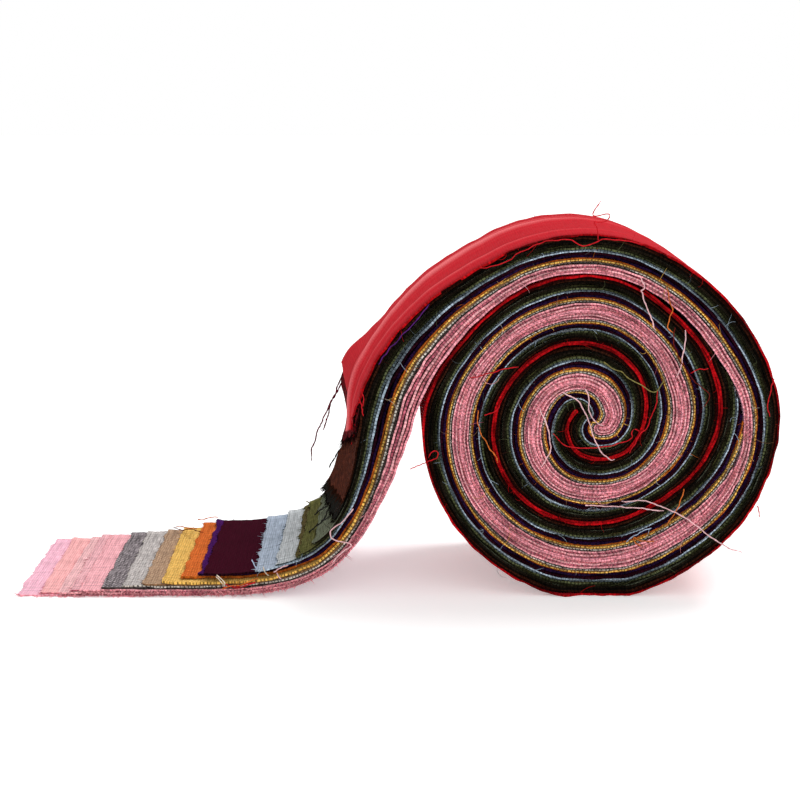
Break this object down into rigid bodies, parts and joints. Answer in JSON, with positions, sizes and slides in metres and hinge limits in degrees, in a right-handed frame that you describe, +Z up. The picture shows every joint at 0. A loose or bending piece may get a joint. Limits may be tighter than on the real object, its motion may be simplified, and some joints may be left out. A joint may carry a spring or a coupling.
{
  "type": "jelly roll of pre-cut quilting fabric strips, rolled up together, with one loose tail",
  "caption": "Stack of cotton strips shaded from pink to red, rolled up together from the middle and standing on its curved side, with a staggered tail lying flat.",
  "frame": {"origin": "on the surface, at the middle of the roll's flat spot, under the centre of the roll and half way along its width", "axes": "+Z up; +X to the right as seen from the front, so the tail lies towards -X; +Y away from the front edge of the strips"},
  "size_m": [0.2602, 0.0642, 0.1256],
  "materials": {
    "pink_cotton": "matte woven cotton in five pinks",
    "grey_cotton": "matte woven cotton, slubby dark grey, light grey and tan",
    "gold_cotton": "matte woven cotton, yellow and orange",
    "plum_cotton": "matte woven cotton, indigo purple and dark plum",
    "blue_cotton": "matte woven cotton, light blue and pale blue-grey",
    "green_cotton": "matte woven cotton, dark olive, olive and sage",
    "dark_cotton": "matte woven cotton, near-black green, rust brown and dark maroon",
    "red_cotton": "matte woven cotton with a soft sheen, red"
  },
  "bodies": {
    "root": {"pink_strips": "pink_cotton", "grey_strips": "grey_cotton", "gold_strips": "gold_cotton", "plum_strips": "plum_cotton", "blue_strips": "blue_cotton", "green_strips": "green_cotton", "dark_strips": "dark_cotton", "red_strip": "red_cotton"}
  },
  "joints": []
}
